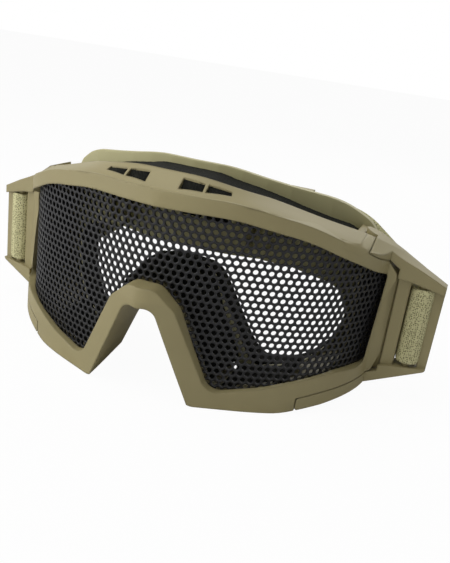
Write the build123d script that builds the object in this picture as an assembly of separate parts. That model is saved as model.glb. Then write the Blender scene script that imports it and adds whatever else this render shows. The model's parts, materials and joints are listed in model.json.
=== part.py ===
from build123d import *
import math
import os

# Mesh safety goggles. X runs across the face, Y from the lens back to the face, Z up.
# The part stands on the flat bottoms of its two nose lobes. All sizes in millimetres.

# Overall sizes of the moulded front
rim_half_width = 79.0
rim_height = 74.0
wrap_depth = 42.6
bridge_height = 37.0

# Perforated lens: radius and turn in degrees of each arc of its plan, from the middle out
lens_arcs = ((77.8, 20), (154.0, 10), (42.7, 31), (180.0, 5))
lens_thick = 0.8
lens_lip = 1.9
groove_play = 0.15
rim_back = 3.4
lens_reach = 40.0
hole_across = 7.2
hole_pitch = 11.0
hole_reach = 2.4
hole_margin = 4.2

# Front frame walls, deck and vents
wall = 2.3
deck_thick = 2.6
notch_wall = 2.4
slot_count = 3
slot_long = 11.0
slot_wide = 3.5
slot_side = 7.0
slot_step = 7.5
slot_top = 12.0

# Face frame behind the front frame: plan arcs as for the lens
face_arcs = ((74.6, 28), (128.0, 22))
face_set_back = 27.0
face_thick = 2.2
face_half_width = 70.0
face_height = 80.4
rib_thick = 2.0
rib_reach = 9.0
rib_height = 15.0
rib_foot = 52.0
rib_places = (24.0, 31.0)

# Foams
foam_thick = 12.0
foam_reach = 30.0
foam_soft = 3.5
foam_round = 2.2
foam_drop = 4.6
foam_gap = 0.3
strip_thick = 4.0
lining_thick = 3.0
pad_thick = 3.2

# Strap clips, their hinge and the window for the strap
hinge_x = 66.0
hinge_y = 46.0
temple_radius = 11.6
temple_wall = 3.0
clip_half_width = 95.0
clip_play = 0.3
pad_radius = 3.3
arm_play = 0.9
window_in = 82.4
window_out = 91.0
panel_step = 1.8
bar_radius = 1.5
bar_x = 86.8
bar_y = 48.3
pin_radius = 1.25
pin_long = 9.0
pin_in_frame = 4.4
bore_play = 0.05

# Elastic strap and its sliders
strap_width = 28.0
strap_thick = 1.6
strap_gap = 0.3
loop_long = 12.0
loop_end_gap = 2.6
strap_lean = 8.0
strap_bend = 9.0
strap_centre = 51.5
strap_low_centre = 32.0
strap_level = 52.0
tail_in = 9.0
slider_x = 26.0
slider_long = 16.0
slider_bar = 3.2
slider_depth = 2.2
slider_rail = 2.2

# One overrun for every cut and every long prism, more than the whole object measures
overrun = 120.0

# The wrapped sheets are stepped in flats, each turned by this many degrees at most
flat_turn = 8.0

# Corners of the outlines on the right: across as a share of the half width,
# up and corner radius as shares of the height. The corners of the cavity are sharp
rim_shares = (
    (0.342, 1.0, 0.9), (0.633, 0.936, 0.7), (0.88, 0.815, 0.2), (1.0, 0.662, 0.1),
    (0.99, 0.155, 0.08), (0.88, 0.077, 0.2), (0.627, 0.0, 0.35), (0.233, 0.0, 0.07),
    (0.063, 0.465, 0.055),
)
opening_shares = (
    (0.342, 0.927, 0.9), (0.633, 0.865, 0.7), (0.835, 0.765, 0.4), (0.934, 0.696, 0.04),
    (0.914, 0.222, 0.034), (0.81, 0.218, 0.16), (0.532, 0.122, 0.6), (0.319, 0.076, 0.08),
    (0.152, 0.473, 0.1), (0.063, 0.562, 0.08),
)
face_shares = (
    (0.2, 1.0, 0.7), (0.743, 0.908, 0.37), (0.921, 0.802, 0.17), (1.0, 0.5, 0.6),
    (0.979, 0.211, 0.25), (0.814, 0.0, 0.17), (0.4, 0.0, 0.075), (0.121, 0.473, 0.087),
)
face_opening_shares = (
    (0.486, 0.6, 0.37), (0.786, 0.5, 0.15), (0.864, 0.373, 0.12), (0.821, 0.187, 0.17),
    (0.671, 0.068, 0.17), (0.441, 0.05, 0.06), (0.164, 0.522, 0.075),
)
cavity_shares = (
    (0.76, 1.3), (0.76, 0.77), (0.82, 0.7), (0.97, 0.58), (0.97, 0.3), (0.84, 0.25), (0.7, 0.155),
    (0.53, 0.031),
)

# Front surface on plan: across as a share of the half width, back as a share of the wrap,
# for the crown of the frame and for the bridge and below, where it comes to a prow
crown_shares = (
    (0.0, -0.038), (0.152, -0.014), (0.316, 0.052), (0.506, 0.188), (0.696, 0.387),
    (0.835, 0.61), (0.93, 0.97),
)
prow_shares = (
    (0.0, -0.221), (0.152, -0.113), (0.316, 0.019), (0.506, 0.174), (0.696, 0.383),
    (0.835, 0.606), (0.93, 0.97),
)
front_height_shares = (-0.1, 0.5, 1.05)
wing_share = 0.29
strap_turn_share = 0.7

# Deck: across as a share of the half width, front edge then rear edge,
# each back as a share of the wrap and up as a share of the height
deck_shares = (
    (0.0, -0.04, 0.98, 0.15, 1.072), (0.152, -0.014, 0.99, 0.168, 1.067),
    (0.316, 0.052, 0.99, 0.263, 1.037), (0.438, 0.125, 0.98, 0.415, 1.004),
    (0.633, 0.31, 0.925, 0.66, 0.935), (0.81, 0.56, 0.855, 0.91, 0.876),
    (0.86, 0.7, 0.825, 0.93, 0.862),
)
inner_vent_shares = ((0.073, 0.026), (0.175, 0.082), (0.173, 0.131), (0.073, 0.106))
outer_vent_shares = ((0.187, 0.085), (0.287, 0.12), (0.285, 0.155), (0.186, 0.124))

# Nose notch: half widths at the top and at the floor, and its top, at the front and the rear
notch_front = (5.0, 18.4, 34.4)
notch_rear = (8.0, 24.3, 39.7)
notch_depth = 48.0
notch_lead = 12.0
arch_share = 0.9
arch_cut_share = 0.5

# Clip seen from the front, from the lower arm up along the seam and back round the outside:
# across as a share of the clip half width, up and corner radius as shares of the rim height
clip_shares = (
    (0.5705, 0.017, 0.01), (0.5705, 0.08, 0.01), (0.645, 0.111, 0.04), (0.7915, 0.166, 0.047),
    (0.8137, 0.27, 0.04), (0.8155, 0.65, 0.04), (0.808, 0.7325, 0.04), (0.7084, 0.8243, 0.01),
    (0.7084, 1.03, 0.01), (1.0, 1.03, 0.01), (0.994, 0.208, 0.02), (0.653, 0.047, 0.05),
)
# Its corners along the lower and the upper seam
lower_seam = clip_shares[1:4]
upper_seam = clip_shares[6:8]
# Pads of the arms round the hinge: underside of the upper one and top of the lower one
pad_levels = (0.777, 0.174)
# Recess of the clip round its window, seen from the front: across and up, as above
recess_shares = (
    (0.75, 0.69), (0.825, 0.676), (0.88, 0.6635), (1.03, 0.61), (1.03, 0.221), (0.88, 0.215), (0.75, 0.2),
)
# Top of the clip: across as a share of its half width, front edge then rear edge,
# each back as a share of the wrap and up as a share of the rim height
clip_top_shares = (
    (0.62, 0.42, 0.885, 0.92, 0.905), (0.71, 0.69, 0.828, 0.92, 0.865),
    (0.816, 1.0, 0.778, 1.17, 0.792), (0.905, 1.06, 0.726, 1.2, 0.723), (1.02, 1.13, 0.65, 1.2, 0.65),
)
# Rear line of the clip on plan: across as a share of its half width, back as a share of wrap
clip_back_shares = (
    (1.0, 1.24), (0.95, 1.25), (0.9, 1.25), (0.83, 1.215), (0.76, 1.19), (0.7, 1.17),
    (0.655, 1.09), (0.567, 0.53),
)


def outline(shares, half_width, height):
    """Face of an outline given on the right: rounded where its corners have radii."""
    right = [(corner[0] * half_width, corner[1] * height) for corner in shares]
    points = right + [(-x, z) for x, z in reversed(right)]
    if len(shares[0]) == 2:
        return make_face(Polyline(*points, close=True))
    radii = [radius * height for x, z, radius in shares]
    return make_face(FilletPolyline(*points, radius=radii + radii[::-1], close=True))


def through(face):
    """Prism of an outline seen from the front, run right through the object."""
    return extrude(Plane.XZ * face, amount=overrun, both=True)


def standing(face, low=-overrun, high=overrun):
    """Prism of a plan face, from one height to another."""
    return extrude(Plane.XY.offset(low) * face, amount=high - low)


def bends(arcs, start, inward):
    """Right half of a plan curve moved inward along its normal, as the bends between its flats."""
    x, y, angle = 0.0, start, 0.0
    points = [(x, y + inward)]
    for radius, turn in arcs:
        steps = math.ceil(turn / flat_turn)
        for step in range(steps):
            turned = angle + math.radians(turn) / steps
            x += radius * (math.sin(turned) - math.sin(angle))
            y += radius * (math.cos(angle) - math.cos(turned))
            angle = turned
            points.append((x - inward * math.sin(angle), y + inward * math.cos(angle)))
    return points


def band(arcs, start, near, far):
    """Upright wall between two offsets of a plan curve, on both sides of the middle."""
    front, rear = bends(arcs, start, near), bends(arcs, start, far)
    right = front + rear[::-1]
    left = [(-x, y) for x, y in rear[1:] + front[:0:-1]]
    return standing(make_face(Polyline(*right, *left, close=True)))


def lens_band(near, far):
    return band(lens_arcs, 0, near, far)


def face_band(near, far):
    return band(face_arcs, face_set_back, near, far)


def ahead_of_face():
    """Everything that lies in front of the face frame, with its seat gap."""
    return face_band(-overrun / 2, -foam_gap)


def both_sides(solid):
    return solid + mirror(solid, about=Plane.YZ)


def disc(radius):
    return Pos(hinge_x, hinge_y) * Circle(radius)


def front_section(shares, height):
    points = [(x * rim_half_width, y * wrap_depth) for x, y in shares]
    reach_x = points[-1][0] + overrun
    reach_y = points[-1][1] + overrun * wing_share
    edge = Spline(*points)
    wing = Line(points[-1], (reach_x, reach_y))
    rest = Polyline((reach_x, reach_y), (reach_x, overrun + wrap_depth),
                    (0, overrun + wrap_depth), points[0])
    return Plane.XY.offset(height) * make_face(Curve() + [edge, wing, rest])


def front_block():
    """Everything behind the front surface, with its crease down the middle."""
    low, middle, high = [share * rim_height for share in front_height_shares]
    right = loft([front_section(prow_shares, low), front_section(prow_shares, middle),
                  front_section(crown_shares, high)], ruled=True)
    return both_sides(right)


def notch(grow):
    """The nose notch as a flared tunnel from front to rear, grown by a wall.

    Its own arch is round; the grown ones, inside the frame, have cut corners.
    """
    faces = []
    for ends, back in ((notch_front, -notch_lead), (notch_rear, notch_depth - notch_lead)):
        top_half, low_half, top = ends
        slope = (low_half - top_half) / top
        side = grow * math.sqrt(1 + slope * slope)
        low = -wall - grow
        right = [(top_half + side - grow * slope, top + grow), (low_half + side - low * slope, low)]
        left = [(-x, z) for x, z in reversed(right)]
        if grow:
            cut = arch_cut_share * top_half
            right.insert(0, (right[0][0] - cut, right[0][1]))
            right[1] = (right[1][0] + cut * slope, right[1][1] - cut)
            left = [(-x, z) for x, z in reversed(right)]
            edge = Polyline(*right, *left, close=True)
        else:
            arch = FilletPolyline(left[0], left[1], right[0], right[1], radius=arch_share * top_half)
            edge = Curve() + [arch, Line(right[1], left[0])]
        faces.append(Plane.XZ.offset(-back) * make_face(edge))
    return loft(faces, ruled=True)


def deck():
    """Sloping deck over the rim, lofted between upright sections."""
    sections = []
    for x, front, front_up, rear, rear_up in deck_shares:
        near, far = (front * wrap_depth, front_up * rim_height), (rear * wrap_depth, rear_up * rim_height)
        drop = deck_thick * math.dist(near, far) / (far[0] - near[0])
        points = Polyline(near, far, (far[0], far[1] - drop), (near[0], near[1] - drop), close=True)
        sections.append(Plane.YZ.offset(x * rim_half_width) * make_face(points))
    solid = both_sides(loft(sections, ruled=True))
    for shares in (inner_vent_shares, outer_vent_shares):
        corners = [(x * rim_half_width, y * rim_half_width) for x, y in shares]
        hole = standing(make_face(Polyline(*corners, close=True)), rim_height, rim_height + overrun)
        solid -= both_sides(hole)
    return solid


def clip_outline(grow):
    """The right clip seen from the front, seam and all, grown by a gap."""
    corners = [(x * clip_half_width, z * rim_height) for x, z, corner in clip_shares]
    radii = [corner * rim_height for x, z, corner in clip_shares]
    face = make_face(FilletPolyline(*corners, radius=radii, close=True))
    return offset(face, amount=grow) if grow else face


def arm_zones(grow):
    """Above the upper seam and below the lower one, run straight on past the temple."""
    low = [(x * clip_half_width, z * rim_height) for x, z, corner in lower_seam]
    high = [(x * clip_half_width, z * rim_height) for x, z, corner in upper_seam]
    far = hinge_x + temple_radius + wall
    low.append(run_on(low[1], low[2], far))
    high.insert(0, run_on(high[1], high[0], far))
    under = Polyline(*low, (far, -wall), (low[0][0], -wall), close=True)
    over = Polyline(*high, (high[-1][0], 2 * rim_height), (far, 2 * rim_height), close=True)
    zones = make_face(under) + make_face(over)
    return offset(zones, amount=grow) if grow else zones


def run_on(first, second, across):
    """The point at a distance across on the straight line through two points."""
    slope = (second[1] - first[1]) / (second[0] - first[0])
    return (across, second[1] + (across - second[0]) * slope)


def pad_rooms(grow):
    """The room of the upper and the lower arm pad, round the hinge."""
    high, low = [share * rim_height for share in pad_levels]
    plan = disc(pad_radius + grow)
    return standing(plan, high - grow, overrun), standing(plan, -overrun, low + grow)


def vent_slots():
    """Slots through the bottom wall on each side, under the bottom foams."""
    slots = []
    for step in range(slot_count):
        x = notch_rear[1] + slot_side + step * slot_step
        y = face_set_back / 2 + step * slot_wide
        slots.append(Pos(x, y) * Rectangle(slot_wide, slot_long))
    return both_sides(standing(Sketch() + slots, -wall, slot_top))


def front_frame(rim, opening, block):
    lens_zone = lens_band(-lens_reach, rim_back)
    temple = both_sides(standing(disc(temple_radius)))
    middle = Box(2 * hinge_x, 2 * overrun, 2 * overrun)
    body = through(rim) & block & (middle + temple) & ahead_of_face()
    room = both_sides(standing(disc(temple_radius - temple_wall)))
    room += Box(2 * (hinge_x - wall), 2 * overrun, 2 * overrun)
    hollow = through(outline(cavity_shares, rim_half_width, rim_height)) & room
    hollow -= lens_zone
    hollow -= notch(notch_wall)
    shell = through(rim) & block & lens_zone
    solid = shell + (body - hollow)
    solid += deck() & block
    solid -= both_sides(through(clip_outline(clip_play)) & lens_zone)
    solid -= both_sides(through(arm_zones(clip_play)))
    behind = Pos(0, hinge_y + overrun) * Rectangle(2 * overrun, 2 * overrun)
    solid -= both_sides(through(arm_zones(arm_play)) & standing(behind))
    for room in pad_rooms(clip_play):
        solid -= both_sides(room)
    solid -= through(opening) & lens_zone
    lip = offset(opening, amount=lens_lip + groove_play)
    solid -= through(lip) & lens_band(-groove_play, lens_thick + groove_play)
    solid -= notch(0)
    cheek = Pos(hinge_x + temple_radius, hinge_y) * Rectangle(2 * wall, 2 * overrun)
    solid -= both_sides(standing(cheek - disc(temple_radius)))
    solid -= vent_slots()
    for pin in pin_stands(pin_radius):
        solid -= both_sides(pin)
    return solid


def pin_stands(radius):
    """The two pins of the right hinge, upper then lower, at their places."""
    high, low = [share * rim_height for share in pad_levels]
    spot = Pos(hinge_x, hinge_y) * Circle(radius)
    return [standing(spot, high - pin_in_frame, high - pin_in_frame + pin_long),
            standing(spot, low + pin_in_frame - pin_long, low + pin_in_frame)]


def mesh_lens(opening):
    sheet = lens_band(0, lens_thick) & through(offset(opening, amount=lens_lip))
    clear = offset(opening, amount=-hole_margin).faces()[0]
    rows = range(math.ceil(-rim_height / hole_pitch), math.ceil(rim_height / hole_pitch))
    length = sum(math.radians(turn) * radius for radius, turn in lens_arcs)
    rise = hole_pitch * math.sqrt(3) / 2
    holes = []
    for row in rows:
        z = bridge_height + row * rise
        shift = hole_pitch / 2 if row % 2 else 0
        count = int(length / hole_pitch) + 1
        for column in range(-count, count + 1):
            travel = column * hole_pitch + shift
            if abs(travel) > length:
                continue
            spot, heading = along_lens(travel)
            if not clear.is_inside(Vector(spot.X, z)):
                continue
            holes.append(hex_prism(spot, heading, z))
    return sheet - holes


def along_lens(travel):
    """Point and heading on the lens plan at a length from the middle."""
    side = -1 if travel < 0 else 1
    left = abs(travel)
    x, y, angle = 0.0, 0.0, 0.0
    for radius, turn in lens_arcs:
        step = min(left / radius, math.radians(turn))
        x += radius * (math.sin(angle + step) - math.sin(angle))
        y += radius * (math.cos(angle) - math.cos(angle + step))
        angle += step
        left -= step * radius
    return Vector(side * x, y), side * angle


def hex_prism(spot, heading, z):
    normal = (-math.sin(heading), math.cos(heading), 0)
    along = (math.cos(heading), math.sin(heading), 0)
    plane = Plane(origin=(spot.X, spot.Y, z), x_dir=along, z_dir=normal)
    face = RegularPolygon(hole_across / 2, 6, major_radius=False, rotation=30)
    return extrude(plane * face, amount=hole_reach, both=True)


def face_frame():
    ring = outline(face_shares, face_half_width, face_height)
    ring -= outline(face_opening_shares, face_half_width, face_height)
    plate = face_band(0, face_thick) & through(ring)
    reach = face_band(-rib_reach, face_thick / 2)
    for place in rib_places:
        rib = Pos(place, 0, rib_foot + rib_height / 2) * Box(rib_thick, 2 * overrun, rib_height)
        plate += both_sides(rib & reach)
    return plate


def cushion_ring(inset):
    """Outline of the cushion, drawn in all round and kept below the top of the face frame."""
    ring = offset(outline(face_shares, face_half_width, face_height), amount=-inset)
    hole = outline(face_opening_shares, face_half_width, face_height)
    return (ring & Pos(0, -foam_drop) * ring) - offset(hole, amount=inset / 2)


def face_foam():
    """Cushion for the face in two layers, the rear one drawn in further."""
    step = foam_thick - foam_soft
    fixed = face_band(face_thick + foam_gap, face_thick + step) & through(cushion_ring(2 * foam_gap))
    return fixed + (face_band(face_thick + step, face_thick + foam_thick) & through(cushion_ring(foam_round)))


def top_vent_foam():
    """Strip of open foam that closes the gap between the deck and the face frame."""
    front = [(x * rim_half_width, rear * wrap_depth + foam_gap) for x, a, b, rear, c in deck_shares]
    back = overrun
    right = Polyline(*front, (front[-1][0], back), (0, back), close=True)
    plan = standing(make_face(right)) & ahead_of_face()
    tops = [(x * rim_half_width, up * rim_height - strip_thick / 2) for x, a, b, c, up in deck_shares]
    lows = [(x, z - strip_thick) for x, z in reversed(tops)]
    side = through(make_face(Polyline(*tops, *lows, close=True)))
    reach = 2 * (cavity_shares[0][0] * rim_half_width - foam_gap)
    return both_sides(plan & side) & Box(reach, 4 * overrun, 4 * overrun)


def bottom_vent_foam():
    """Foam laid on the inside of the bottom wall, over its slots."""
    inner = offset(outline(cavity_shares, rim_half_width, rim_height), amount=-foam_gap)
    in_x, out_x = notch_rear[1] + lining_thick, clip_shares[0][0] * clip_half_width - 2 * lining_thick
    keep = Pos((in_x + out_x) / 2, 0) * Rectangle(out_x - in_x, bridge_height)
    strip = through((inner - Pos(0, lining_thick) * inner) & keep)
    zone = lens_band(rim_back + foam_gap, foam_reach)
    return strip & zone & ahead_of_face()


def side_vent_foam():
    """Foam against the inside of the temple wall, between its two lugs."""
    radius = temple_radius - temple_wall - foam_gap
    plan = disc(radius) - disc(radius - lining_thick)
    keep = Pos(hinge_x + overrun / 2, hinge_y) * Rectangle(overrun, 2 * overrun)
    plan &= keep
    cavity = outline(cavity_shares, rim_half_width, rim_height)
    strip = standing(plan) & through(offset(cavity, amount=-foam_gap))
    strip -= lens_band(-lens_reach, rim_back + foam_gap)
    return strip


def nose_foam():
    pad = notch(notch_wall + foam_gap + pad_thick) - notch(notch_wall + foam_gap)
    pad &= lens_band(rim_back + foam_gap, foam_reach)
    pad &= ahead_of_face()
    low = 2 * wall + lining_thick
    return pad & (Pos(0, 0, low + overrun) * Box(2 * overrun, 2 * overrun, 2 * overrun))


def clip_top():
    """Everything over the sloping top of the clip, lofted between upright sections."""
    sections = []
    for x, front, front_up, rear, rear_up in clip_top_shares:
        near, far = (front * wrap_depth, front_up * rim_height), (rear * wrap_depth, rear_up * rim_height)
        points = Polyline((-overrun, near[1]), near, far, (overrun, far[1]),
                          (overrun, overrun), (-overrun, overrun), close=True)
        sections.append(Plane.YZ.offset(x * clip_half_width) * make_face(points))
    return loft(sections, ruled=True)


def strap_clip(rim, block):
    """Right clip: arms over and under the frame, pads on the hinge, a window for the strap."""
    rear = [(x * clip_half_width, y * wrap_depth) for x, y in clip_back_shares]
    plan = Polyline(*rear, (rear[-1][0], -overrun), (rear[0][0], -overrun), close=True)
    solid = through(clip_outline(0)) & block & standing(make_face(plan))
    far = hinge_x + temple_radius + wall
    between = through(Rectangle(2 * far, 4 * rim_height) - arm_zones(0))
    temple = between & standing(disc(temple_radius + clip_play))
    solid -= temple
    upper_pad, lower_pad = pad_rooms(0)
    solid += upper_pad + (lower_pad & through(rim + clip_outline(0)))
    solid -= clip_top()
    corners = [(x * clip_half_width, z * rim_height) for x, z in recess_shares]
    recess = make_face(Polyline(*corners, close=True))
    solid -= through(recess) - (Pos(0, panel_step, 0) * block)
    window = Pos((window_in + window_out) / 2) * Rectangle(window_out - window_in, 2 * rim_height)
    solid -= through(recess & window)
    solid += standing(Pos(bar_x, bar_y) * Circle(bar_radius)) & through(offset(recess, amount=wall))
    for pin in pin_stands(pin_radius + bore_play):
        solid -= pin
    return solid


def strap_rear():
    """How far back the strap runs: just behind the rearmost edge of the face foam."""
    edge = bends(face_arcs, face_set_back, face_thick + foam_thick)[-1]
    return edge[1] + foam_gap + strap_thick / 2


def strap_path(outward):
    """Plan route of the strap from the left loop to the right one, moved outward."""
    lean = math.radians(strap_lean)
    away = Vector(-math.sin(lean), math.cos(lean))
    side = Vector(math.cos(lean), math.sin(lean))
    end = Vector(bar_x, bar_y) + away * (loop_long + loop_end_gap) + side * outward
    back = strap_rear() + outward
    corner = end + away * ((back - end.Y) / away.Y)
    right = [(corner.X, corner.Y), (end.X, end.Y)]
    left = [(-x, y) for x, y in reversed(right)]
    return FilletPolyline(*left, *right, radius=strap_bend + outward)


def strap_side():
    """The strap seen from the front: level across the back, lower at the clips."""
    points = [(strap_level, strap_centre), (window_in - strap_gap, strap_low_centre),
              (clip_half_width + strap_width, strap_low_centre)]
    left = [(-x, z) for x, z in reversed(points)]
    line = FilletPolyline(*left, *points, radius=strap_width * strap_turn_share)
    return through(trace(line, strap_width))


def strap_band():
    return standing(trace(strap_path(0), strap_thick)) & strap_side()


def strap_tail():
    outward = strap_thick + strap_gap
    keep = Pos(tail_in + overrun, 0, 0) * Box(2 * overrun, 4 * overrun, 4 * overrun)
    return standing(trace(strap_path(outward), strap_thick)) & strap_side() & keep


def strap_loop():
    """End of the strap, sewn round the bar in the window of the clip."""
    inner, outer = bar_radius + strap_gap, bar_radius + strap_gap + strap_thick
    faces = []
    for half, length in ((outer, loop_long - outer), (inner, loop_long - outer - 2 * strap_thick)):
        run = SlotCenterToCenter(length, 2 * half)
        faces.append(Pos(0, length / 2) * (Rot(0, 0, 90) * run))
    plan = Pos(bar_x, bar_y) * (Rot(0, 0, strap_lean) * (faces[0] - faces[1]))
    half = strap_width / 2
    return standing(plan, strap_low_centre - half, strap_low_centre + half)


def strap_slider():
    """Ladder slider: two bars in front of the strap, one behind it, and two rails."""
    front = strap_rear() - strap_thick / 2 - strap_gap
    rear = strap_rear() + strap_thick / 2 + strap_gap + strap_thick + strap_gap
    depth = rear - front + 2 * slider_depth
    opening = strap_width + 2 * strap_gap
    height = opening + 2 * slider_rail
    frame = Pos(0, (front + rear) / 2, 0) * Box(slider_long, depth, height)
    gap = slider_long / 2 - slider_bar
    frame -= Pos(0, rear - overrun / 2, 0) * Box(2 * gap, overrun, opening)
    frame -= Pos(0, (front + rear) / 2, 0) * Box(2 * slider_long, rear - front, opening)
    for side in (-1, 1):
        middle = side * (slider_bar / 2 + slider_long)
        frame -= Pos(middle, rear + overrun / 2, 0) * Box(2 * slider_long, overrun, opening)
    return Pos(slider_x, 0, strap_centre) * frame


def pins():
    stands = pin_stands(pin_radius)
    return Compound(children=[Part() + stand for stand in stands])


def main():
    rim = outline(rim_shares, rim_half_width, rim_height)
    opening = outline(opening_shares, rim_half_width, rim_height)
    block = front_block()
    nodes = {
        "front_frame": front_frame(rim, opening, block),
        "mesh_lens": mesh_lens(opening),
        "face_frame": face_frame(),
        "face_foam": face_foam(),
        "top_vent_foam": top_vent_foam(),
        "nose_foam": nose_foam(),
        "strap_band": strap_band(),
    }
    right = {
        "bottom_vent_foam": bottom_vent_foam(),
        "side_vent_foam": side_vent_foam(),
        "strap_clip": strap_clip(rim, block),
        "hinge_pins": pins(),
        "strap_loop": strap_loop(),
        "strap_tail": strap_tail(),
        "strap_slider": strap_slider(),
    }
    for name, solid in right.items():
        nodes[name + "_right"] = solid
        nodes[name + "_left"] = mirror(solid, about=Plane.YZ)
    boxes = [solid.bounding_box() for solid in nodes.values()]
    front, rear = min(box.min.Y for box in boxes), max(box.max.Y for box in boxes)
    shift = -(front + rear) / 2
    os.makedirs("parts", exist_ok=True)
    for name, solid in nodes.items():
        export_step(Pos(0, shift, 0) * solid, f"parts/{name}.step")
    print("moved back by", shift, "depth", rear - front)


main()
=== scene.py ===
import json
import math
import bmesh
import bpy
from mathutils import Matrix, Vector


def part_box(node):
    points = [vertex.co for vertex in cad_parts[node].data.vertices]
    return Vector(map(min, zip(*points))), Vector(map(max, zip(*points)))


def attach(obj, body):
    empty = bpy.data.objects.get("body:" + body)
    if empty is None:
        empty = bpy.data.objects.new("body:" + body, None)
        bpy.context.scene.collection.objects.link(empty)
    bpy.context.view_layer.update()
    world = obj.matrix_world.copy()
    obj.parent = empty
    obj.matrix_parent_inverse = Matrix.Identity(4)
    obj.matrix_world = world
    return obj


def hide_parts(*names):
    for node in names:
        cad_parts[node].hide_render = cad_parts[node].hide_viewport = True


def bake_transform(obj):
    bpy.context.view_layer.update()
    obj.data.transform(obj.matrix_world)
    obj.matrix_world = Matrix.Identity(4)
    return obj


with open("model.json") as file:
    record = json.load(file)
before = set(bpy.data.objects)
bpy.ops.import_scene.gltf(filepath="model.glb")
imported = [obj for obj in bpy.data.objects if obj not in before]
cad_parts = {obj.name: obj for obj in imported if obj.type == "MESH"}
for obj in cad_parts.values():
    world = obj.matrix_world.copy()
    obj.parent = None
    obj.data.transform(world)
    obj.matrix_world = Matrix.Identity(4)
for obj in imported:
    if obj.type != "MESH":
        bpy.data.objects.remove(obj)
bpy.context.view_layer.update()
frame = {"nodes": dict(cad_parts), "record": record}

mm = 0.001
nodes = frame["nodes"]
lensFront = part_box("mesh_lens")[0][1]      # where the lens crosses the middle plane


def at(x, y, z):
    # millimetres: across, back from the front of the lens, up from the floor
    return Vector((x * mm, lensFront + y * mm, z * mm))


class Field:
    # a shader socket that can be used in sums
    def __init__(self, finish, socket):
        self.finish = finish
        self.socket = socket

    def maths(self, operation, first, second):
        return self.finish.node("ShaderNodeMath", {"operation": operation}, {0: first, 1: second})

    def __add__(self, other):
        return self.maths("ADD", self, other)

    def __radd__(self, other):
        return self.maths("ADD", other, self)

    def __sub__(self, other):
        return self.maths("SUBTRACT", self, other)

    def __rsub__(self, other):
        return self.maths("SUBTRACT", other, self)

    def __mul__(self, other):
        return self.maths("MULTIPLY", self, other)

    def __rmul__(self, other):
        return self.maths("MULTIPLY", other, self)


noiseRoughness = 0.55


class Finish:
    # one material, or the room's light, and the nodes that make it
    def __init__(self, name, world=False):
        self.owner = (bpy.data.worlds if world else bpy.data.materials).new(name)
        self.owner.use_nodes = True
        self.tree = self.owner.node_tree
        self.tree.nodes.clear()
        kind = "World" if world else "Material"
        self.output = self.tree.nodes.new("ShaderNodeOutput" + kind)

    def node(self, kind, settings=None, inputs=None, out=0):
        made = self.tree.nodes.new(kind)
        for key, value in (settings or {}).items():
            setattr(made, key, value)
        for key, value in (inputs or {}).items():
            if isinstance(value, Field):
                self.tree.links.new(value.socket, made.inputs[key])
            else:
                made.inputs[key].default_value = value
        return Field(self, made.outputs[out])

    def place(self):
        # position on the object in metres
        return self.node("ShaderNodeTexCoord", out=3)

    def noise(self, scale, detail):
        return self.node("ShaderNodeTexNoise", None,
                         {"Vector": self.place(), "Scale": scale, "Detail": detail,
                          "Roughness": noiseRoughness})

    def blend(self, factor, first, second):
        # colours mixed by a field
        return self.node("ShaderNodeMix", {"data_type": "RGBA"},
                         {0: factor, 6: first, 7: second}, out=2)

    def show(self, shader):
        self.tree.links.new(shader.socket, self.output.inputs["Surface"])
        return self.owner

    def surface(self, inputs):
        return self.show(self.node("ShaderNodeBsdfPrincipled", None, inputs))


def srgb(red, green, blue):
    # colour as read from a screen, 0 to 255
    def line(level):
        level = level / 255
        return level / 12.92 if level <= 0.04045 else ((level + 0.055) / 1.055) ** 2.4
    return (line(red), line(green), line(blue), 1.0)


# moulded plastic of the frame, the clips and the face frame; the face frame's colours are painted
# lighter than the frame's, painted light standing in for the light that reaches the inside through
# the mesh
plastic = {
    "frameLight": srgb(156, 146, 106), "frameDark": srgb(143, 132, 92),
    "faceLight": srgb(190, 184, 138), "faceDark": srgb(178, 172, 126),
    "cloud": 55.0, "grain": 2600.0, "detail": 2.0, "edge": 0.001, "samples": 4,
    "roughness": 0.47, "uneven": 0.08, "bump": 0.12, "depth": 0.0002, "index": 1.46,
}


def mouldedPlastic(name, light, dark):
    finish = Finish(name)
    cloud = finish.noise(plastic["cloud"], plastic["detail"])
    grain = finish.noise(plastic["grain"], plastic["detail"])
    rounding = finish.node("ShaderNodeBevel", {"samples": plastic["samples"]},
                           {"Radius": plastic["edge"]})
    bump = finish.node("ShaderNodeBump", None,
                       {"Strength": plastic["bump"], "Distance": plastic["depth"],
                        "Height": grain, "Normal": rounding})
    return finish.surface({"Base Color": finish.blend(cloud, dark, light),
                           "Roughness": plastic["roughness"] + cloud * plastic["uneven"],
                           "Normal": bump, "IOR": plastic["index"]})


# stove-black coating on the perforated sheet
meshPaint = {
    "colour": srgb(12, 12, 14), "speck": srgb(24, 24, 27), "specks": 0.5,
    "grain": 1500.0, "detail": 2.0,
    "roughness": 0.42, "uneven": 0.1, "bump": 0.1, "depth": 0.0001, "shine": 0.36,
}


def blackMesh():
    finish = Finish("blackMesh")
    fine = finish.noise(meshPaint["grain"], meshPaint["detail"])
    bump = finish.node("ShaderNodeBump", None, {"Strength": meshPaint["bump"],
                                                "Distance": meshPaint["depth"], "Height": fine})
    return finish.surface({"Base Color": finish.blend(fine * meshPaint["specks"],
                                                      meshPaint["colour"], meshPaint["speck"]),
                           "Roughness": meshPaint["roughness"] + fine * meshPaint["uneven"],
                           "Normal": bump, "Specular IOR Level": meshPaint["shine"]})


# open-cell foam
foamLook = {
    "colour": srgb(14, 15, 12), "light": srgb(36, 37, 32), "cell": 1500.0,
    "roughness": 0.9, "bump": 0.6, "depth": 0.0005, "shine": 0.1,
}


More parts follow.
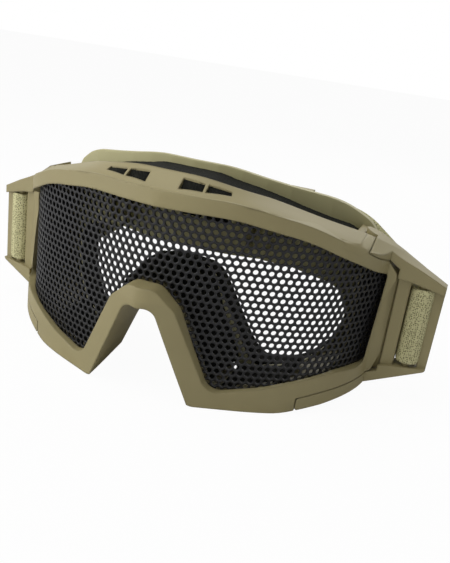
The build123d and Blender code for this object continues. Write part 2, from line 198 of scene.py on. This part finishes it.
def blackFoam():
    finish = Finish("blackFoam")
    cells = finish.node("ShaderNodeTexVoronoi", None,
                        {"Vector": finish.place(), "Scale": foamLook["cell"]})
    bump = finish.node("ShaderNodeBump", None, {"Strength": foamLook["bump"],
                                                "Distance": foamLook["depth"], "Height": cells})
    return finish.surface({"Base Color": finish.blend(cells, foamLook["colour"], foamLook["light"]),
                           "Roughness": foamLook["roughness"], "Normal": bump,
                           "Specular IOR Level": foamLook["shine"]})


# elastic webbing: a light knit with small dark specks
webbing = {
    "light": srgb(204, 199, 152), "dark": srgb(122, 118, 82), "knots": 1400.0, "uneven": 0.6,
    "speck": 0.5, "contrast": 4, "roughness": 0.85, "bump": 0.6, "depth": 0.0003,
}


def strapWeave():
    finish = Finish("strapWeave")
    knots = finish.node("ShaderNodeTexVoronoi", None,
                        {"Vector": finish.place(), "Scale": webbing["knots"],
                         "Randomness": webbing["uneven"]})
    specks = (webbing["speck"] - knots) * webbing["contrast"]
    bump = finish.node("ShaderNodeBump", None, {"Strength": webbing["bump"],
                                                "Distance": webbing["depth"], "Height": knots})
    return finish.surface({"Base Color": finish.blend(specks, webbing["light"], webbing["dark"]),
                           "Roughness": webbing["roughness"], "Normal": bump})


# drawn steel of the hinge pins
steel = {
    "colour": srgb(150, 150, 148), "grain": 900.0, "detail": 3.0, "roughness": 0.3, "uneven": 0.15,
}


def pinSteel():
    finish = Finish("pinSteel")
    drawn = finish.noise(steel["grain"], steel["detail"])
    return finish.surface({"Base Color": steel["colour"], "Metallic": 1.0,
                           "Roughness": steel["roughness"] + drawn * steel["uneven"]})


finishes = {
    "tan_plastic": mouldedPlastic("tanPlastic", plastic["frameLight"], plastic["frameDark"]),
    # the face frame is the frame's tan painted brighter: painted light for the inside seen through
    # the mesh
    "face_plastic": mouldedPlastic("facePlastic", plastic["faceLight"], plastic["faceDark"]),
    "black_mesh": blackMesh(),
    "black_foam": blackFoam(),
    "pin_steel": pinSteel(),
    "strap_webbing": strapWeave(),
}
slots = {part["node"]: part["material_slot"] for part in frame["record"]["subparts"]}
for name, node in nodes.items():
    node.data.materials.clear()
    node.data.materials.append(finishes[slots[name]])
print("finishes made")


def rounded(corners, closed=True, step=8.0):
    # line through corners (x, y, radius), each turned on an arc in steps of some degrees
    points = []
    for index, (x, y, radius) in enumerate(corners):
        here = Vector((x, y))
        if not closed and index in (0, len(corners) - 1):
            points.append(here)
            continue
        before = (Vector(corners[index - 1][:2]) - here).normalized()
        after = (Vector(corners[(index + 1) % len(corners)][:2]) - here).normalized()
        turn = math.pi - before.angle(after)
        first = here + before * radius * math.tan(turn / 2)
        centre = here + (before + after).normalized() * radius / math.cos(turn / 2)
        spin = first - centre
        side = -1 if before.x * after.y - before.y * after.x > 0 else 1
        steps = max(1, math.ceil(math.degrees(turn) / step))
        for count in range(steps + 1):
            points.append(centre + Matrix.Rotation(side * turn * count / steps, 2) @ spin)
    return points


def bothSides(right):
    # outline on both sides of the middle, from the corners on the right
    return right + [(-corner[0],) + tuple(corner[1:]) for corner in reversed(right)]


def grown(points, distance):
    # closed line moved outward all round
    area = sum(one.x * two.y - two.x * one.y for one, two in zip(points, points[1:] + points[:1]))
    side = 1 if area > 0 else -1
    moved = []
    for index, here in enumerate(points):
        along = (points[(index + 1) % len(points)] - points[index - 1]).normalized()
        moved.append(here + Vector((along.y, -along.x)) * side * distance)
    return moved


def nearest(points, here):
    # nearest spot of a closed line, how far it is, and whether the place is inside the line
    best, spot, inside = math.inf, None, False
    for one, two in zip(points, points[1:] + points[:1]):
        run = two - one
        share = max(0.0, min(1.0, (here - one).dot(run) / max(run.length_squared, 1e-12)))
        near = one + run * share
        gap = (here - near).length
        if gap < best:
            best, spot = gap, near
        if (one.y > here.y) != (two.y > here.y):
            if here.x < one.x + (here.y - one.y) / (two.y - one.y) * run.x:
                inside = not inside
    return spot, best, inside


def alongArcs(arcs, travel):
    # place and heading on a plan curve, at a length from its middle
    side = -1 if travel < 0 else 1
    left, x, y, angle = abs(travel), 0.0, 0.0, 0.0
    for radius, turn in arcs:
        step = min(left / radius, math.radians(turn))
        x += radius * (math.sin(angle + step) - math.sin(angle))
        y += radius * (math.cos(angle) - math.cos(angle + step))
        angle += step
        left -= step * radius
    return side * (x + left * math.cos(angle)), y + left * math.sin(angle), side * angle


def acrossArcs(arcs, across, inward=0.0):
    # how far back a plan curve moved inward lies, at a distance from the middle, and its heading
    side = -1 if across < 0 else 1
    x, y, angle = 0.0, inward, 0.0
    for radius, turn in arcs:
        radius -= inward
        last = angle + math.radians(turn)
        sine = math.sin(angle) + (abs(across) - x) / radius
        if sine <= math.sin(last):
            here = math.asin(sine)
            return y + radius * (math.cos(angle) - math.cos(here)), side * here
        x += radius * (math.sin(last) - math.sin(angle))
        y += radius * (math.cos(angle) - math.cos(last))
        angle = last
    return y + (abs(across) - x) * math.tan(angle), side * angle


def linked(name, mesh):
    made = bpy.data.objects.new(name, mesh)
    bpy.context.scene.collection.objects.link(made)
    return made


def evaluated(made):
    # the mesh with its modifiers applied, put back on the object without them
    result = made.evaluated_get(bpy.context.evaluated_depsgraph_get())
    mesh = bpy.data.meshes.new_from_object(result)
    made.modifiers.clear()
    made.data = mesh
    return mesh


def addPiece(name, points, faces, slotName):
    mesh = bpy.data.meshes.new(name)
    mesh.from_pydata([tuple(point) for point in points], [], faces)
    mesh.validate()
    mesh.materials.append(finishes[slotName])
    mesh.polygons.foreach_set("use_smooth", [True] * len(mesh.polygons))
    made = linked(name, mesh)
    return made


# perforated steel lens, wrapped on four arcs a side, held by a lip all round
lens = {
    "arcs": ((77.8, 20), (154.0, 10), (42.7, 31), (180.0, 5)), "thick": 0.8, "lip": 1.85,
    "pitch": 2.725, "hole": 0.97, "sides": 12,
    # height of the middle row of holes, rows over and under it, holes to each side
    "middle": 37.0, "rows": 14, "columns": 40,
    "margin": 1.1,        # cells nearer the edge than this share of their reach are trimmed to it
    "weld": 200,          # parts of a millimetre in which corners count as one
    "opening": [(27.0, 68.6, 66.6), (50.0, 64.0, 51.8), (66.0, 56.6, 29.6), (73.8, 51.5, 3.0),
                (72.2, 16.4, 2.5), (64.0, 16.1, 11.8), (42.0, 9.0, 44.4), (25.2, 5.6, 5.9),
                (12.0, 35.0, 7.4), (5.0, 41.6, 5.9)],
}


def perforatedLens():
    edge = grown(rounded(bothSides(lens["opening"])), lens["lip"])
    pitch, hole, sides = lens["pitch"], lens["hole"], lens["sides"]
    rowRise = pitch * math.sqrt(3) / 2
    corner = pitch / math.sqrt(3)
    ring = []
    for turn in range(sides):
        angle = 2 * math.pi * turn / sides
        ring.append((math.cos(angle), math.sin(angle), corner if turn % 2 else pitch / 2))
    spots, order, faces = [], {}, []

    def spotNumber(u, z, trim):
        x, y, heading = alongArcs(lens["arcs"], u)
        if trim:
            spot, _, inside = nearest(edge, Vector((x, z)))
            if not inside:
                x, z = spot
                y, heading = acrossArcs(lens["arcs"], x)
        key = (round(x * lens["weld"]), round(z * lens["weld"]))
        if key not in order:
            order[key] = len(spots)
            spots.append((x, y, z, heading))
        return order[key]

    for row in range(-lens["rows"], lens["rows"] + 1):
        z = lens["middle"] + row * rowRise
        for column in range(-lens["columns"], lens["columns"] + 1):
            u = (column + (0.5 if row % 2 else 0)) * pitch
            x = alongArcs(lens["arcs"], u)[0]
            gap, inside = nearest(edge, Vector((x, z)))[1:]
            if not inside and gap > corner:
                continue
            trim = gap < corner * lens["margin"]
            outer = [spotNumber(u + a * reach, z + b * reach, trim) for a, b, reach in ring]
            inner = [spotNumber(u + a * hole, z + b * hole, trim) for a, b, _ in ring]
            for this in range(sides):
                then = (this + 1) % sides
                face = [outer[this], outer[then], inner[then], inner[this]]
                face = [v for place, v in enumerate(face) if v != face[place - 1]]
                if len(face) > 2 and len(set(face)) == len(face):
                    faces.append(face)
    count = len(spots)
    points = [at(x + depth * -math.sin(heading), y + depth * math.cos(heading), z)
              for depth in (0, lens["thick"]) for x, y, z, heading in spots]
    edges = {(one, two) for face in faces for one, two in zip(face, face[1:] + face[:1])}
    walls = [(two, one, one + count, two + count)
             for one, two in sorted(edges) if (two, one) not in edges]
    rear = [[v + count for v in reversed(face)] for face in faces]
    made = addPiece("perforatedLens", points, faces + rear + walls, "black_mesh")
    for polygon in made.data.polygons[len(faces) + len(rear):]:
        polygon.use_smooth = False
    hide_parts("mesh_lens")
    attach(made, "goggle_frame")
    print("lens with", len(faces) // sides, "holes")


perforatedLens()

# deck over the front frame, brought up to its full height, with its four vents
deck = {
    # across, then the front edge and the rear edge: back and up
    "sections": [(0, -1.7, 72.5, 6.4, 79.3), (12, -0.6, 73.3, 7.2, 79.0),
                 (25, 2.2, 73.3, 11.2, 76.7), (34.6, 5.5, 72.5, 17.7, 74.3),
                 (50, 13.8, 68.5, 28.1, 69.2), (64, 24.8, 63.2, 38.8, 64.7),
                 (67.9, 30.6, 60.5, 39.6, 63.4)],
    # the front edge is tucked into the frame, and the underside starts some way behind it
    "thick": 2.0, "proud": 0.15, "tuck": 0.3, "underShare": 0.3, "across": 5, "along": 8,
    "weld": 0.01, "sharp": 24,
    # corners of the vents on plan, and how high they start and how low they end, front and rear
    "vents": [[(6.0, 1.0), (14.0, 2.3), (13.6, 5.4), (6.0, 4.9)],
              [(14.9, 2.5), (22.9, 5.5), (22.3, 7.5), (14.7, 5.7)]],
    "ventTop": 90.0, "ventFront": 71.6, "ventRear": 60.0,
}
# foam in the vents: how far below the deck at the front and the rear, its share of the vent,
# its rounded top, and the places of its underside
ventFoam = {
    # the pads stay only just below the deck at the rear, so black foam covers the vents' rear
    # walls: painted shade where those walls lie in shadow
    "dropFront": 3.0, "dropRear": 0.35, "share": 0.99, "topShare": 0.96, "round": 0.3,
    "bottomFront": 71.7, "bottomRear": 66.1, "least": 3.6,
}


def between(one, two, three, four, share):
    # value on a smooth line through four even steps, from the second to the third
    return two + 0.5 * share * (three - one + share * (2 * one - 5 * two + 4 * three - four
                                                       + share * (3 * (two - three) + four - one)))


def deckSections():
    right = deck["sections"]
    rows = [(-right[1][0],) + right[1][1:]] + right
    made = []
    for index in range(1, len(rows) - 2):
        for step in range(deck["along"]):
            share = step / deck["along"]
            made.append(tuple(between(*(rows[index + k][part] for k in (-1, 0, 1, 2)), share)
                              for part in range(5)))
    made.append(rows[-2])
    return [(-row[0],) + tuple(row[1:]) for row in reversed(made[1:])] + made


deckRows = deckSections()


def deckSpan(x):
    # front edge and rear edge at a place across: back and up
    x = max(deckRows[0][0], min(deckRows[-1][0], x))
    for one, two in zip(deckRows, deckRows[1:]):
        if x <= two[0]:
            share = (x - one[0]) / (two[0] - one[0])
            return [one[k] + (two[k] - one[k]) * share for k in (1, 2, 3, 4)]


def deckHeight(x, y):
    front, frontUp, rear, rearUp = deckSpan(x)
    return frontUp + (rearUp - frontUp) * (y - front) / (rear - front)


def addPrism(points, faces, rings, mirrored):
    # closed solid through rings of corners, from the top one down
    start, count = len(points), len(rings[0])
    points += [spot for ring in rings for spot in ring]
    order = list(range(count))
    if mirrored:
        order.reverse()
    bottom = start + (len(rings) - 1) * count
    faces.append([start + v for v in order])
    faces.append([bottom + v for v in reversed(order)])
    for level in range(start, bottom, count):
        for one, two in zip(order, order[1:] + order[:1]):
            faces.append([level + two, level + one, level + one + count, level + two + count])


def ventFilters():
    # pads of foam that fill the bottoms of the vents, partly foam filter and partly painted shade:
    # the black foam rises almost to the deck at the rear, covering the rear walls where they lie in
    # shade
    points, faces = [], []
    for side in (1, -1):
        for corners in deck["vents"]:
            middle = Vector((sum(x for x, y in corners), sum(y for x, y in corners))) / len(corners)
            ring = [middle.lerp(Vector(corner), ventFoam["share"]) for corner in corners]
            top, shoulder, bottom = [], [], []
            for spot in ring:
                front = spot.y < middle.y
                below = ventFoam["dropFront"] if front else ventFoam["dropRear"]
                inner = middle.lerp(spot, ventFoam["topShare"])
                top.append(at(side * inner.x, inner.y, deckHeight(inner.x, inner.y) - below))
                height = deckHeight(spot.x, spot.y)
                shoulder.append(at(side * spot.x, spot.y, height - below - ventFoam["round"]))
                low = ventFoam["bottomFront"] if front else ventFoam["bottomRear"]
                bottom.append(at(side * spot.x, spot.y, min(low, height - ventFoam["least"])))
            addPrism(points, faces, [top, shoulder, bottom], side < 0)
    made = addPiece("ventFilters", points, faces, "black_foam")
    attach(made, "goggle_frame")


def closedSheet(rows):
    # closed mesh between two grids of places, outer and inner, given row by row
    deep, wide = len(rows), len(rows[0][0])
    points = [spot for layer in (0, 1) for row in rows for spot in row[layer]]
    faces = []
    total = deep * wide
    for row in range(deep - 1):
        for place in range(wide - 1):
            one = row * wide + place
            quad = (one, one + wide, one + wide + 1, one + 1)
            faces += [quad, tuple(v + total for v in reversed(quad))]
    rim = list(range(wide)) + [row * wide + wide - 1 for row in range(1, deep)]
    rim += [(deep - 1) * wide + place for place in range(wide - 2, -1, -1)]
    rim += [row * wide for row in range(deep - 2, 0, -1)]
    for one, two in zip(rim, rim[1:] + rim[:1]):
        faces.append((one, two, two + total, one + total))
    return points, faces


def ventCutter():
    points, faces = [], []
    for side in (1, -1):
        for corners in deck["vents"]:
            middle = sum(y for x, y in corners) / len(corners)
            top = [at(side * x, y, deck["ventTop"]) for x, y in corners]
            bottom = [at(side * x, y, deck["ventFront"] if y < middle else deck["ventRear"])
                      for x, y in corners]
            addPrism(points, faces, [top, bottom], side < 0)
    mesh = bpy.data.meshes.new("ventCutter")
    mesh.from_pydata([tuple(point) for point in points], [], faces)
    return linked("ventCutter", mesh)


def cutBy(made, cutter):
    # the piece less the cutter, smooth but for its edges
    cut = made.modifiers.new("vents", "BOOLEAN")
    cut.operation = "DIFFERENCE"
    cut.solver = "EXACT"
    cut.object = cutter
    mesh = evaluated(made)
    mesh.polygons.foreach_set("use_smooth", [True] * len(mesh.polygons))
    mesh.set_sharp_from_angle(angle=math.radians(deck["sharp"]))


def mouldedFront():
    cutter = ventCutter()
    body = linked("frontMoulding", nodes["front_frame"].data.copy())
    work = bmesh.new()
    work.from_mesh(body.data)
    bmesh.ops.remove_doubles(work, verts=work.verts, dist=deck["weld"] * mm)
    work.to_mesh(body.data)
    work.free()
    cutBy(body, cutter)
    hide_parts("front_frame")
    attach(body, "goggle_frame")
    rows = []
    for x, frontBack, frontUp, rearBack, rearUp in deckRows:
        layers = []
        for lift, first in ((deck["proud"], 0.0),
                            (deck["proud"] - deck["thick"], deck["underShare"])):
            row = []
            for step in range(deck["across"] + 1):
                share = first + (1 - first) * step / deck["across"]
                rise = lift if step else lift - deck["tuck"]
                row.append(at(x, frontBack + (rearBack - frontBack) * share,
                              frontUp + (rearUp - frontUp) * share + rise))
            layers.append(row)
        rows.append(layers)
    top = addPiece("deckTop", *closedSheet(rows), "tan_plastic")
    cutBy(top, cutter)
    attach(top, "goggle_frame")
    bpy.data.objects.remove(cutter)
    print("front moulding", len(body.data.polygons), "deck", len(top.data.polygons))


mouldedFront()
ventFilters()

# cushion against the face: a crowned ring that follows the face frame, in two layers of foam
cushion = {
    "arcs": ((74.6, 28), (128.0, 22)), "setBack": 27.0, "plate": 2.2, "steps": 9, "soften": 6,
    "outer": [(0, 75.2), (16, 75.0), (50, 68.0), (63.0, 59.0), (68.8, 40.0),
              (67.2, 17.5), (56.2, 0.8), (28.6, 0.8), (9.2, 37.6), (0, 38.5)],
    "inner": [(0, 48.6), (13, 48.6), (35, 48.2), (54.5, 40.8), (60.8, 30.5),
              (58, 15.2), (47.6, 5.0), (31.6, 3.8), (12.6, 41.2), (0, 42.3)],
    # in from the side and back from the plate
    "section": [(0.0, 0.4), (-0.2, 3.0), (-0.25, 5.6), (0.0, 7.6), (0.55, 8.2),
                (0.1, 8.8), (0.3, 9.7), (1.0, 10.6), (2.4, 11.0)],
    "crown": [(0.3, 11.2), (0.5, 11.35), (0.7, 11.2)],
    "fullWidth": 7.0,     # where the ring is narrower, its sides pull in less
    "strap": 75.3,        # the strap presses it flat here
}


def softened(line, steps, rounds):
    # divided evenly between its corners, then smoothed, with its ends kept on the middle
    points = []
    for one, two in zip(line, line[1:]):
        points += [Vector(one).lerp(Vector(two), count / steps) for count in range(steps)]
    points.append(Vector(line[-1]))
    for _ in range(rounds):
        inner = [(before + here * 2 + after) / 4
                 for before, here, after in zip(points, points[1:], points[2:])]
        points = [points[0]] + inner + [points[-1]]
    return points


def ringFaces(rings, across):
    # faces between rings of points, each ring joined to the next
    faces = []
    for one, two in rings:
        for place in range(across):
            after = (place + 1) % across
            faces.append((one * across + place, one * across + after,
                          two * across + after, two * across + place))
    return faces


def faceCushion():
    outer = softened(cushion["outer"], cushion["steps"], cushion["soften"])
    inner = softened(cushion["inner"], cushion["steps"], cushion["soften"])
    lines = list(zip(outer, inner))
    lines += [(Vector((-one.x, one.y)), Vector((-two.x, two.y)))
              for one, two in reversed(lines[1:-1])]
    points = []
    for one, two in lines:
        width = (two - one).length
        fit = min(1.0, width / cushion["fullWidth"])
        side = [(inset * fit / width, back) for inset, back in cushion["section"]]
        loop = side + cushion["crown"] + [(1 - share, back) for share, back in reversed(side)]
        for share, back in loop:
            spot = one.lerp(two, share)
            y = acrossArcs(cushion["arcs"], spot.x, cushion["plate"] + back)[0]
            points.append(at(spot.x, min(cushion["setBack"] + y, cushion["strap"]), spot.y))
    count = len(lines)
    rings = [(line, (line + 1) % count) for line in range(count)]
    made = addPiece("faceCushion", points, ringFaces(rings, len(points) // count), "black_foam")
    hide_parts("face_foam")
    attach(made, "goggle_frame")


faceCushion()

# smaller foams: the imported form, softened at its edges
softFoams = {
    "voxel": 0.55, "smooth": 6, "swell": 0.12,
    # top foam: width of the steps in which it is raised, its height over the deck's rear edge
    # and how far below the deck it stays
    "step": 8.0, "proud": -1.2, "under": 0.4,
    "nodes": ("top_vent_foam", "bottom_vent_foam_left", "bottom_vent_foam_right",
              "side_vent_foam_left", "side_vent_foam_right", "nose_foam"),
}


def raiseFoam(mesh):
    # the top foam follows the rear edge of the deck
    spots = [(v.co.x / mm, (v.co.y - lensFront) / mm, v.co.z / mm) for v in mesh.vertices]
    tops = {}
    for x, y, z in spots:
        place = round(x / softFoams["step"])
        tops[place] = max(tops.get(place, z), z)
    for vertex, (x, y, z) in zip(mesh.vertices, spots):
        place = math.floor(x / softFoams["step"])
        share = x / softFoams["step"] - place
        low, high = tops.get(place, tops.get(place + 1)), tops.get(place + 1, tops.get(place))
        edge = deckSpan(x)[3] + softFoams["proud"]
        lift = edge - (low + (high - low) * share)
        vertex.co.z = min(z + lift, edge, deckHeight(x, y) - softFoams["under"]) * mm


def softFoam(name):
    words = name.split("_")
    made = linked(words[0] + "".join(word.title() for word in words[1:]), nodes[name].data.copy())
    remesh = made.modifiers.new("even", "REMESH")
    remesh.mode = "VOXEL"
    remesh.voxel_size = softFoams["voxel"] * mm
    remesh.use_smooth_shade = True
    smooth = made.modifiers.new("soft", "SMOOTH")
    smooth.iterations = softFoams["smooth"]
    swell = made.modifiers.new("swell", "DISPLACE")
    swell.strength = softFoams["swell"] * mm
    swell.mid_level = 0.0
    mesh = evaluated(made)
    if name == "top_vent_foam":
        raiseFoam(mesh)
    mesh.materials.clear()
    mesh.materials.append(finishes["black_foam"])
    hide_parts(name)
    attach(made, "goggle_frame")


for name in softFoams["nodes"]:
    softFoam(name)
print("foams made")

# elastic strap: band across the back, tails outside it, and a turn round the bar of each clip
strap = {
    "width": 28.0, "thick": 1.6, "gap": 0.3, "corner": 9.0, "tail": 9.0, "step": 1.5,
    # place of the bar on plan, and the way the strap leaves it: degrees and length
    "bar": (86.8, 48.3), "lean": 8.0, "loop": 14.6,
    # height of its middle at the back and at the clips, where it slopes, and its bends there
    "high": 51.5, "low": 32.6, "level": 51.2, "drop": 76.8, "bend": 15.5,
    # across the width and through the thickness, as shares of their halves
    "section": [(-1.0, -0.35), (-1.0, 0.35), (-0.965, 0.85), (-0.9, 1.0), (-0.5, 0.96),
                (0.0, 1.0), (0.5, 0.96), (0.9, 1.0), (0.965, 0.85), (1.0, 0.35),
                (1.0, -0.35), (0.965, -0.85), (0.9, -1.0), (0.5, -0.96), (0.0, -1.0),
                (-0.5, -0.96), (-0.9, -1.0), (-0.965, -0.85)],
}
# turn round the bar: how far out it lies inside, in front and outside, and how it eases back
barLoop = {
    "width": 29.6, "middle": 32.3, "inside": 3.35, "front": 2.6, "outside": 3.8, "steps": 10,
    "ease": ((12.5, 0.04), (9.5, 0.3), (6.5, 0.66), (3.5, 0.93), (1.5, 1.0)),
    "blendFrom": 4,       # the clip's side of the turn ends this far behind the bar
}
layer = strap["thick"] + strap["gap"]
lean = math.radians(strap["lean"])
away, aside = Vector((-math.sin(lean), math.cos(lean))), Vector((math.cos(lean), math.sin(lean)))


def spaced(points, gap):
    # even places along a line, and the distance between them
    runs = [(two - one).length for one, two in zip(points, points[1:])]
    total = sum(runs)
    count = max(2, math.ceil(total / gap))
    made, index, passed = [], 0, 0.0
    for number in range(count + 1):
        goal = total * number / count
        while index < len(runs) - 1 and passed + runs[index] < goal:
            passed += runs[index]
            index += 1
        share = (goal - passed) / runs[index]
        made.append(points[index].lerp(points[index + 1], share))
    return made, total / count


def ribbon(name, line, height, width):
    # webbing on edge along a plan line, its middle at a height that follows how far across it is
    places, gap = spaced(line, strap["step"])

    def placeAt(travel):
        index = max(0, min(len(places) - 2, int(travel / gap)))
        one, two = places[index], places[index + 1]
        along = (two - one).normalized()
        before = (places[index] - places[index - 1]).normalized() if index else along
        share = travel / gap - index
        facing = before.lerp(along, min(1.0, max(0.0, share + 0.5))).normalized()
        return one + (two - one) * share, Vector((facing.y, -facing.x))

    points = []
    for index, here in enumerate(places):
        low = places[max(0, index - 1)]
        high = places[min(len(places) - 1, index + 1)]
        slope = (height(high.x) - height(low.x)) / (high - low).length
        size = math.sqrt(1 + slope * slope)
        for across, through in strap["section"]:
            offset = across * width / 2
            spot, normal = placeAt(index * gap - offset * slope / size)
            spot = spot + normal * through * strap["thick"] / 2
            points.append(at(spot.x, spot.y, height(here.x) + offset / size))
    count, last = len(strap["section"]), len(places) - 1
    faces = ringFaces([(index, index + 1) for index in range(last)], count)
    faces.append(tuple(range(count - 1, -1, -1)))
    faces.append(tuple(range(last * count, (last + 1) * count)))
    return addPiece(name, points, faces, "strap_webbing")


def strapHeights():
    high, low, bend = strap["high"], strap["low"], strap["bend"]
    line = rounded([(0, high, 0), (strap["level"], high, bend),
                    (strap["drop"], low, bend), (2 * strap["drop"], low, 0)], closed=False)

    def height(x):
        x = abs(x)
        for one, two in zip(line, line[1:]):
            if x <= two.x:
                return one.y + (two.y - one.y) * (x - one.x) / (two.x - one.x)
    return height


def strapLine(outward):
    # plan corners from the middle of the back to the end at the right clip
    end = Vector(strap["bar"]) + away * strap["loop"] + aside * outward
    back = (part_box("strap_band")[1][1] - lensFront) / mm - strap["thick"] / 2 + outward
    corner = end + away * ((back - end.y) / away.y)
    return back, corner, end


def barTurn(side):
    # from the band's end, round the bar and back to the tail: back from the bar and outward
    ease = ((strap["loop"], 0.0),) + barLoop["ease"]
    line = [Vector((back, -barLoop["inside"] * share)) for back, share in ease]
    for step in range(barLoop["steps"] + 1):
        angle = math.pi * step / barLoop["steps"]
        reach = barLoop["inside"] if angle < math.pi / 2 else barLoop["outside"]
        line.append(Vector((-math.sin(angle) * barLoop["front"], -math.cos(angle) * reach)))
    line += [Vector((back, layer + (barLoop["outside"] - layer) * share))
             for back, share in reversed(ease)]
    spots = [Vector(strap["bar"]) + away * spot.x + aside * spot.y for spot in line]
    return [Vector((side * spot.x, spot.y)) for spot in spots]


def strapPieces():
    height = strapHeights()
    back, corner, end = strapLine(0)
    line = rounded([(-end.x, end.y, 0), (-corner.x, corner.y, strap["corner"]),
                    (corner.x, corner.y, strap["corner"]), (end.x, end.y, 0)], closed=False)
    band = ribbon("strapBand", line, height, strap["width"])
    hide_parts("strap_band")
    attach(band, "goggle_frame")
    back, corner, end = strapLine(layer)
    near = Vector(strap["bar"])
    far = near + away * strap["loop"]
    for side, word in ((1, "right"), (-1, "left")):
        line = rounded([(side * strap["tail"], back, 0),
                        (side * corner.x, corner.y, strap["corner"] + layer),
                        (side * end.x, end.y, 0)], closed=False)
        tail = ribbon("strapTail" + word.title(), line, height, strap["width"])
        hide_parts("strap_tail_" + word)
        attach(tail, "goggle_frame")
        turn = ribbon("strapTurn" + word.title(), barTurn(side), lambda x: barLoop["middle"],
                      barLoop["width"])
        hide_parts("strap_loop_" + word)
        start = at(side * near.x, near.y + barLoop["blendFrom"], strap["low"])
        tuple(at(side * far.x, far.y, strap["low"]))
        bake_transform(turn)


strapPieces()
print("strap made")

# the photograph's view: place in millimetres, directions of the picture
view = {
    "place": (91.4, -201.9, 122.8), "right": (0.9276, 0.348, 0.1361),
    "up": (-0.2375, 0.2681, 0.9336), "back": (0.2884, -0.8983, 0.3314),
    "focal": 44.015, "sensor": 36, "nearest": 0.01,
}


def photoCamera():
    camera = linked("photoCamera", bpy.data.cameras.new("photoCamera"))
    turn = Matrix((view["right"], view["up"], view["back"])).transposed().to_4x4()
    camera.matrix_world = Matrix.Translation(at(*view["place"])) @ turn
    camera.data.lens = view["focal"]
    camera.data.sensor_width = view["sensor"]
    camera.data.clip_start = view["nearest"]
    bpy.context.scene.camera = camera


# soft lamps: place, size and power
lamps = {
    "overhead": {"place": (-140, -120, 620), "size": 0.5, "power": 1.95},
    "front": {"place": (-40, -640, 140), "size": 0.5, "power": 0.36},
    "left": {"place": (-560, -330, 240), "size": 0.35, "power": 1.9},
    "rear": {"place": (80, 520, 420), "size": 0.5, "power": 0.8},
}
# pale room: what the lamps face, the room's light on the goggles, and the floor
room = {
    "aim": (0, 30, 35), "fill": 0.2, "white": (1, 1, 1, 1),
    "floor": srgb(245, 245, 245), "glow": 0.96, "reach": 3.0, "below": 0.0002,
}


def studio():
    for name, lamp in lamps.items():
        light = bpy.data.lights.new(name, "AREA")
        light.size = lamp["size"]
        light.energy = lamp["power"]
        holder = linked(name, light)
        holder.location = at(*lamp["place"])
        aim = at(*room["aim"]) - holder.location
        holder.rotation_euler = aim.to_track_quat("-Z", "Y").to_euler()
    sky = Finish("paleRoom", world=True)
    camera, glossy, through = (sky.node("ShaderNodeLightPath", out="Is " + kind + " Ray")
                               for kind in ("Camera", "Glossy", "Transmission"))
    seen = camera.maths("MAXIMUM", camera.maths("MAXIMUM", camera, glossy), through)
    strength = room["fill"] + seen * (1 - room["fill"])
    bpy.context.scene.world = sky.show(sky.node("ShaderNodeBackground", None,
                                                {"Color": room["white"], "Strength": strength}))


def paleFloor():
    finish = Finish("paleFloor")
    camera = finish.node("ShaderNodeLightPath")
    diffuse = finish.node("ShaderNodeBsdfDiffuse", None, {"Color": room["floor"]})
    glow = finish.node("ShaderNodeEmission", None, {"Color": room["white"], "Strength": 1.0})
    mixed = finish.node("ShaderNodeMixShader", None,
                        {0: camera * room["glow"], 1: diffuse, 2: glow})
    mesh = bpy.data.meshes.new("paleFloor")
    reach = room["reach"]
    corners = [(-reach, -reach, 0), (reach, -reach, 0), (reach, reach, 0), (-reach, reach, 0)]
    mesh.from_pydata(corners, [], [(0, 1, 2, 3)])
    mesh.materials.append(finish.show(mixed))
    floor = linked("paleFloor", mesh)
    floor.location.z = -room["below"]


photoCamera()
studio()
paleFloor()
bpy.context.scene.view_settings.view_transform = "Standard"
print("stage set")
